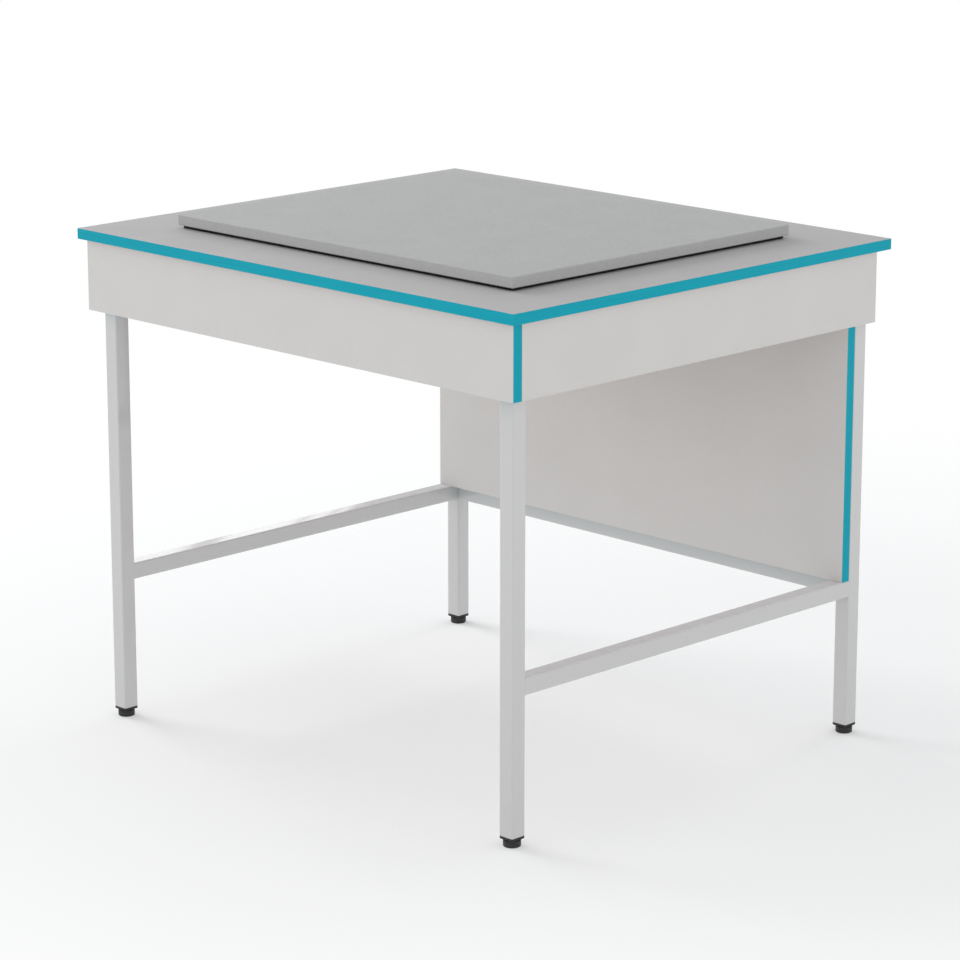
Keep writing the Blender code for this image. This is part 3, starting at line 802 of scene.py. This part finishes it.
def tube_shape(low, high):
    """A square tube that fills a box, open at both ends of its longest side."""
    along = longest_side(low, high)
    shape = bar_shape(low, high, along)
    sides = [face for face in shape.faces if face.calc_area() > TUBE_CORNER * (high - low)[along]]
    flat = {vert for face in sides for vert in face.verts}
    corner = shape.verts.layers.float.new("corner")
    for vert in shape.verts:
        vert[corner] = 0 if vert in flat else 1
    ends = [face for face in shape.faces if abs(face.normal[along]) > ALONG_SHARE]
    bmesh.ops.inset_individual(shape, faces=ends, thickness=TUBE_WALL, use_even_offset=True)
    rims = [edge for face in ends for edge in face.edges]
    bmesh.ops.delete(shape, geom=ends, context="FACES_ONLY")
    bmesh.ops.bridge_loops(shape, edges=rims)
    return shape


TUBES = [name for name in frame["nodes"] if name.split("_")[0] in ("leg", "lower", "top", "crossbeam")]
for name in TUBES:
    tube = make_piece(name + "_tube", tube_shape(*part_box(name)), "table", "painted_steel", name)
    tube.modifiers.new("even_shading", "WEIGHTED_NORMAL").keep_sharp = True
print("tubes:", len(TUBES), "of", len(tube.data.polygons), "faces each")

# %% [markdown]
# ## Welds
#
# Every rail ends square against the side of another tube. Where their sides are flush, the welder
# fills the groove beside the round corner and grinds it level, so a short bar of the rail's own
# section, a hair smaller, is let into the neighbour. Where the neighbour runs on past the rail, a
# bead is left standing in the inside corner, but not where a board has to lie flat. A bead is a ring
# drawn out in small steps, whose rings then swell and shrink in ripples and taper off at both ends.

# %% Weld beads
BEAD_RADIUS = 2.2 * MM
BEAD_SIDES = 12
BEAD_LENGTH = 21 * MM
BEAD_END = 2 * MM
RIPPLE = 1.75 * MM
RIPPLE_STEPS = 4
RIPPLE_SHARE = 0.07
TIP_SHARE = 0.1


def bead_mesh():
    """A weld bead round the Z axis, with its middle at the origin."""
    shape = bmesh.new()
    steps = round(BEAD_LENGTH / RIPPLE) * RIPPLE_STEPS
    start = Matrix.Translation((0, 0, -BEAD_LENGTH / 2))
    bmesh.ops.create_circle(shape, segments=BEAD_SIDES, radius=BEAD_RADIUS, matrix=start)
    bmesh.ops.spin(
        shape,
        geom=shape.verts[:] + shape.edges[:],
        axis=AXES[2],
        cent=Vector(),
        dvec=AXES[2] * BEAD_LENGTH / steps,
        angle=0,
        steps=steps,
    )
    for vert in shape.verts:
        to_end = min(1, (BEAD_LENGTH / 2 - abs(vert.co.z)) / BEAD_END)
        ripple = 1 + RIPPLE_SHARE * math.sin(math.tau * vert.co.z / RIPPLE)
        vert.co.xy *= ripple * math.sqrt(TIP_SHARE + (1 - TIP_SHARE) * max(0, to_end))
    bmesh.ops.holes_fill(shape, edges=[edge for edge in shape.edges if edge.is_boundary])
    return to_mesh("bead", shape)


BEAD = bead_mesh()
print("bead:", len(BEAD.polygons), "faces")

# %% Weld the rails
GROUND_OFF = 0.02 * MM
WELD_DEPTH = 2.3 * MM
RAILS = [name for name in TUBES if not name.startswith("leg")]
BOARDS = [name for name in frame["nodes"] if name.startswith(("rear_panel", "apron", "worktop"))]


def boxes_meet(low, high, other_low, other_high):
    """Whether two boxes share any space."""
    return all(low[i] < other_high[i] and high[i] > other_low[i] for i in range(3))


def weld_end(shape, rail, along, sign):
    """Weld one end of a rail: its lower end along its axis for sign -1, its higher end for +1."""
    low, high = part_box(rail)
    middle = (low + high) / 2
    end = high[along] if sign > 0 else low[along]
    probe = middle.copy()
    probe[along] = end + sign * WELD_DEPTH
    others = [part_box(name) for name in TUBES if name != rail]
    other_low, other_high = next(box for box in others if boxes_meet(probe, probe, *box))
    filler_low = low + Vector.Fill(3, GROUND_OFF)
    filler_high = high - Vector.Fill(3, GROUND_OFF)
    filler_low[along] = min(end, probe[along])
    filler_high[along] = max(end, probe[along])
    add_copy(shape, to_mesh("filler", bar_shape(filler_low, filler_high, along)), Matrix.Identity(4))
    reach = Vector.Fill(3, BEAD_RADIUS)
    for across in (axis for axis in range(3) if axis != along):
        for side, own, other in ((-1, low, other_low), (1, high, other_high)):
            place = middle.copy()
            place[along] = other_low[along] if sign > 0 else other_high[along]
            place[across] = own[across]
            flush = (other[across] - own[across]) * side < BEAD_RADIUS
            blocked = any(boxes_meet(place - reach, place + reach, *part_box(board)) for board in BOARDS)
            if not flush and not blocked:
                add_copy(shape, BEAD, facing(AXES[3 - along - across], place))


for rail in RAILS:
    shape = bmesh.new()
    for sign in (-1, 1):
        weld_end(shape, rail, longest_side(*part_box(rail)), sign)
    welds = make_piece(rail + "_welds", shape, "table", "painted_steel")
    print("welds:", rail, len(welds.data.polygons) // len(BEAD.polygons), "beads")

# %% [markdown]
# ## Threads
#
# A thread is one notch, as high as the pitch, that climbs by its own height while it turns once. The
# spin operator does both at a time: it turns the notch's outline in small steps, and moves it up a
# little at each. Neighbouring turns then share their points, and merging them makes one skin. Two
# planes trim it to length. Its open ends are carried on by extruding the rim, ring by ring, into a
# head or a tip, so that the whole screw is one closed shape.

# %% Thread helpers
NOTCH_SHARES = ((0, 0), (0.25, 0), (0.5625, 1), (0.6875, 1), (1, 0))  # of the pitch, of the depth
THREAD_STEPS = 24


def threaded_sleeve(core_radius, crest_radius, pitch, length):
    """A thread round the Z axis, from height 0 to its length, open at both ends."""
    shape = bmesh.new()
    depth = crest_radius - core_radius
    verts = [
        shape.verts.new((core_radius + depth * out, 0, (up - 1) * pitch)) for up, out in NOTCH_SHARES
    ]
    edges = [shape.edges.new(pair) for pair in zip(verts, verts[1:])]
    turns = math.ceil(length / pitch) + 1
    bmesh.ops.spin(
        shape,
        geom=verts + edges,
        axis=AXES[2],
        cent=Vector(),
        dvec=AXES[2] * pitch / THREAD_STEPS,
        angle=math.tau * turns,
        steps=THREAD_STEPS * turns,
    )
    bmesh.ops.remove_doubles(shape, verts=shape.verts, dist=MERGE)
    for height, outwards in ((0, -AXES[2]), (length, AXES[2])):
        bmesh.ops.bisect_plane(
            shape,
            geom=shape.verts[:] + shape.edges[:] + shape.faces[:],
            dist=MERGE,
            plane_co=(0, 0, height),
            plane_no=outwards,
            clear_outer=True,
        )
    return shape


def carry_on(shape, height, rings):
    """Carry the rim at this height on through rings of radius and height, and close the last."""
    rim = [
        edge
        for edge in shape.edges
        if edge.is_boundary and all(abs(vert.co.z - height) < MERGE for vert in edge.verts)
    ]
    for radius, ring_height in rings:
        made = bmesh.ops.extrude_edge_only(shape, edges=rim)["geom"]
        rim = [part for part in made if isinstance(part, bmesh.types.BMEdge) and part.is_boundary]
        for vert in {vert for edge in rim for vert in edge.verts}:
            vert.co.xy = vert.co.xy.normalized() * radius
            vert.co.z = ring_height
    bmesh.ops.holes_fill(shape, edges=rim)


print("a thread is drawn in", THREAD_STEPS, "steps a turn")

# %% [markdown]
# ## Studs and bases of the feet
#
# Each foot screws into its leg on an M8 stud. The stud's round head turns inside the base, which a
# lathe or a mould would make, so the base is a profile spun about its axis: bottom, wall, rim, the
# shallow dish in its top, the bore for the stud and the pocket for its head.

# %% Studs
STUD_CREST = 4 * MM
STUD_CORE = 3.3 * MM
STUD_PITCH = 1.25 * MM
STUD_HEAD_RADIUS = 7 * MM
STUD_HEAD_HEIGHT = 3 * MM
STUD_TIP = 0.7 * MM
CORNERS = ("front_left", "front_right", "rear_left", "rear_right")

for corner in CORNERS:
    node = "foot_stud_" + corner
    low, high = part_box(node)
    middle = (low + high) / 2
    length = high.z - low.z - STUD_HEAD_HEIGHT - STUD_TIP
    shape = threaded_sleeve(STUD_CORE, STUD_CREST, STUD_PITCH, length)
    carry_on(shape, 0, ((STUD_HEAD_RADIUS, 0), (STUD_HEAD_RADIUS, -STUD_HEAD_HEIGHT)))
    carry_on(shape, length, ((STUD_CORE - STUD_TIP, length + STUD_TIP),))
    seat = Vector((middle.x, middle.y, low.z + STUD_HEAD_HEIGHT))
    bmesh.ops.translate(shape, vec=seat, verts=shape.verts)
    body = frame["nodes"][node]["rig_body"]
    stud = make_piece(node + "_thread", shape, body, "zinc_plated_steel", node)
print("stud:", len(stud.data.polygons), "faces,", round(length / STUD_PITCH), "turns of thread")

# %% Foot bases
BASE_STEPS = 64
BASE_CHAMFER = 1.2 * MM
BASE_RIM = 0.4 * MM
RIM_STEPS = 3
DISH_RADIUS = 8 * MM
DISH_DEPTH = 0.6 * MM
BORE_RADIUS = 4.3 * MM
POCKET_RADIUS = 7.3 * MM
POCKET_FLOOR = 3 * MM
POCKET_TOP = 6.6 * MM

for corner in CORNERS:
    node = "foot_base_" + corner
    low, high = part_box(node)
    middle = (low + high) / 2
    radius = (high.x - low.x) / 2
    height = high.z - low.z
    profile = (
        (0, 0),
        (radius - BASE_CHAMFER, 0),
        (radius, BASE_CHAMFER),
        (radius, height),
        (DISH_RADIUS, height),
        (DISH_RADIUS, height - DISH_DEPTH),
        (BORE_RADIUS, height - DISH_DEPTH),
        (BORE_RADIUS, POCKET_TOP),
        (POCKET_RADIUS, POCKET_TOP),
        (POCKET_RADIUS, POCKET_FLOOR),
        (0, POCKET_FLOOR),
    )
    shape = bmesh.new()
    verts = [shape.verts.new((out, 0, up)) for out, up in profile]
    edges = [shape.edges.new(pair) for pair in zip(verts, verts[1:])]
    bmesh.ops.spin(
        shape,
        geom=verts + edges,
        axis=AXES[2],
        cent=Vector(),
        angle=math.tau,
        steps=BASE_STEPS,
        use_merge=True,
    )
    bmesh.ops.remove_doubles(shape, verts=shape.verts, dist=MERGE)
    rims = [
        edge
        for edge in shape.edges
        if abs(edge.verts[0].co.z - edge.verts[1].co.z) < MERGE
        and all(vert.co.xy.length > radius - BASE_CHAMFER - MERGE for vert in edge.verts)
    ]
    bevel_edges(shape, rims, BASE_RIM, RIM_STEPS)
    bmesh.ops.translate(shape, vec=Vector((middle.x, middle.y, low.z)), verts=shape.verts)
    body = frame["nodes"][node]["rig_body"]
    base = make_piece(node + "_turned", shape, body, "black_plastic", node)
print("base:", len(base.data.polygons), "faces")

# %% [markdown]
# ## Screws
#
# Fourteen pan-head screws hold the boards to the frame. They are all the same, so one is made, with
# its head below the origin and its thread above it, and copied to each place. Its head is a rim and
# a dome, ring by ring, and the cross for the driver is cut out of it by two tapered blades with the
# Boolean modifier, which is then applied.

# %% Screw helpers
HEAD_RADIUS = 4.5 * MM
HEAD_RIM = 0.8 * MM
HEAD_DOME = 1.8 * MM
HEAD_CROWN = 0.2 * MM
DOME_STEPS = 6


def dome_rings():
    """The rings of the head, from its flat underside over its rim and dome to its crown."""
    rings = [(HEAD_RADIUS, 0), (HEAD_RADIUS, -HEAD_RIM)]
    for step in range(1, DOME_STEPS):
        angle = math.pi / 2 * step / DOME_STEPS
        rings.append((HEAD_RADIUS * math.cos(angle), -HEAD_RIM - HEAD_DOME * math.sin(angle)))
    return rings + [(HEAD_CROWN, -HEAD_RIM - HEAD_DOME)]


def rough_object(name, shape):
    """A shape as an object for the Boolean modifier to work with."""
    bmesh.ops.recalc_face_normals(shape, faces=shape.faces)
    made = bpy.data.objects.new(name, to_mesh(name, shape))
    bpy.context.scene.collection.objects.link(made)
    return made


print("screw head:", round((HEAD_RIM + HEAD_DOME) / MM, 1), "mm high")

# %% Make one screw
SCREW_CREST = 2.25 * MM
SCREW_CORE = 1.5 * MM
SCREW_PITCH = 2 * MM
SCREW_SHANK = 32.6 * MM
SCREW_TIP = 4 * MM
SCREW_POINT = 0.2 * MM
BLADE = Vector((4.8, 1.2, 3.6)) * MM
BLADE_TAPER_SHARE = 0.5

shape = threaded_sleeve(SCREW_CORE, SCREW_CREST, SCREW_PITCH, SCREW_SHANK)
carry_on(shape, 0, dome_rings())
carry_on(shape, SCREW_SHANK, ((SCREW_POINT, SCREW_SHANK + SCREW_TIP),))
blank = rough_object("screw_blank", shape)
blades = []
for turn in (0, math.pi / 2):
    shape = box_shape(-BLADE / 2, BLADE / 2)
    for vert in shape.verts:
        if vert.co.z > 0:
            vert.co.xy *= BLADE_TAPER_SHARE
    bmesh.ops.rotate(shape, cent=Vector(), matrix=Matrix.Rotation(turn, 3, "Z"), verts=shape.verts)
    bmesh.ops.translate(shape, vec=Vector((0, 0, -HEAD_RIM - HEAD_DOME)), verts=shape.verts)
    blades.append(rough_object("blade", shape))
    cut = blank.modifiers.new("cross", "BOOLEAN")
    cut.operation = "DIFFERENCE"
    cut.solver = "EXACT"
    cut.object = blades[-1]
depsgraph = bpy.context.evaluated_depsgraph_get()
SCREW = bpy.data.meshes.new_from_object(blank.evaluated_get(depsgraph))
for made in [blank, *blades]:
    bpy.data.objects.remove(made)
print("screw:", len(SCREW.polygons), "faces")

# %% Drive the screws
SCREW_WAYS = {
    "worktop_screw": AXES[2],
    "apron_screw_front": -AXES[1],
    "apron_screw_left": -AXES[0],
    "apron_screw_right": AXES[0],
    "panel_screw": -AXES[1],
}
SCREWS = [name for name in frame["nodes"] if "_screw_" in name]

for name in SCREWS:
    way = next(SCREW_WAYS[start] for start in SCREW_WAYS if name.startswith(start))
    low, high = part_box(name)
    half_length = abs((high - low).dot(way)) / 2
    seat = (low + high) / 2 - way * (half_length - HEAD_RIM - HEAD_DOME)
    shape = bmesh.new()
    add_copy(shape, SCREW, facing(way, seat))
    make_piece(name + "_thread", shape, "table", "zinc_plated_steel", name)
    print("screw:", name)
